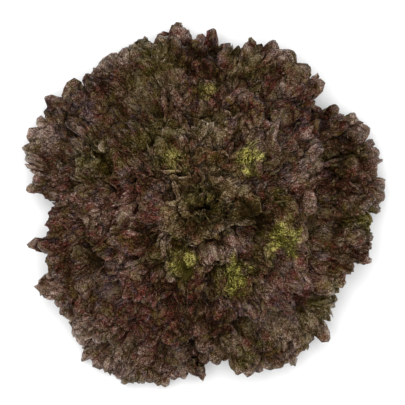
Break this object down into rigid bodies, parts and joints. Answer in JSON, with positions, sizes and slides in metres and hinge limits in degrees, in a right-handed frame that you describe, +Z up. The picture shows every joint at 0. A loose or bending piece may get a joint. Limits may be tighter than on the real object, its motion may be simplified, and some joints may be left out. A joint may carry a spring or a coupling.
{
  "type": "batavia lettuce",
  "caption": "Whole head of red batavia lettuce as cut: bronze frilled leaves in a spiral rosette round a short stem, with a green heart; stands on its flat cut face.",
  "frame": {"origin": "centre of the stem's flat cut face, on which the head stands", "axes": "+Z up along the stem, towards the heart; the oldest, lowest leaf points 102 degrees round from +X, and each next leaf is about 137.5 degrees further round"},
  "size_m": [0.2955, 0.296, 0.122],
  "materials": {
    "leaf": "bronze-brown leaf, crinkled, with a soft waxy sheen and paler veins",
    "heart_leaf": "young olive-green leaf, crinkled, bronze at the margin",
    "stem": "pale green-white stem, moist at the cut"
  },
  "bodies": {
    "root": {"stem": "stem", "heart": "heart_leaf", "leaf_01": "leaf", "leaf_02": "leaf", "leaf_03": "leaf", "leaf_04": "leaf", "leaf_05": "leaf", "leaf_06": "leaf", "leaf_07": "leaf", "leaf_08": "leaf", "leaf_09": "leaf", "leaf_10": "leaf", "leaf_11": "leaf", "leaf_12": "leaf", "leaf_13": "leaf", "leaf_14": "leaf", "leaf_15": "leaf", "leaf_16": "leaf", "leaf_17": "leaf", "leaf_18": "leaf", "leaf_19": "leaf", "leaf_20": "leaf", "leaf_21": "leaf", "leaf_22": "leaf", "leaf_23": "leaf", "leaf_24": "leaf", "leaf_25": "leaf", "leaf_26": "leaf"}
  },
  "joints": []
}
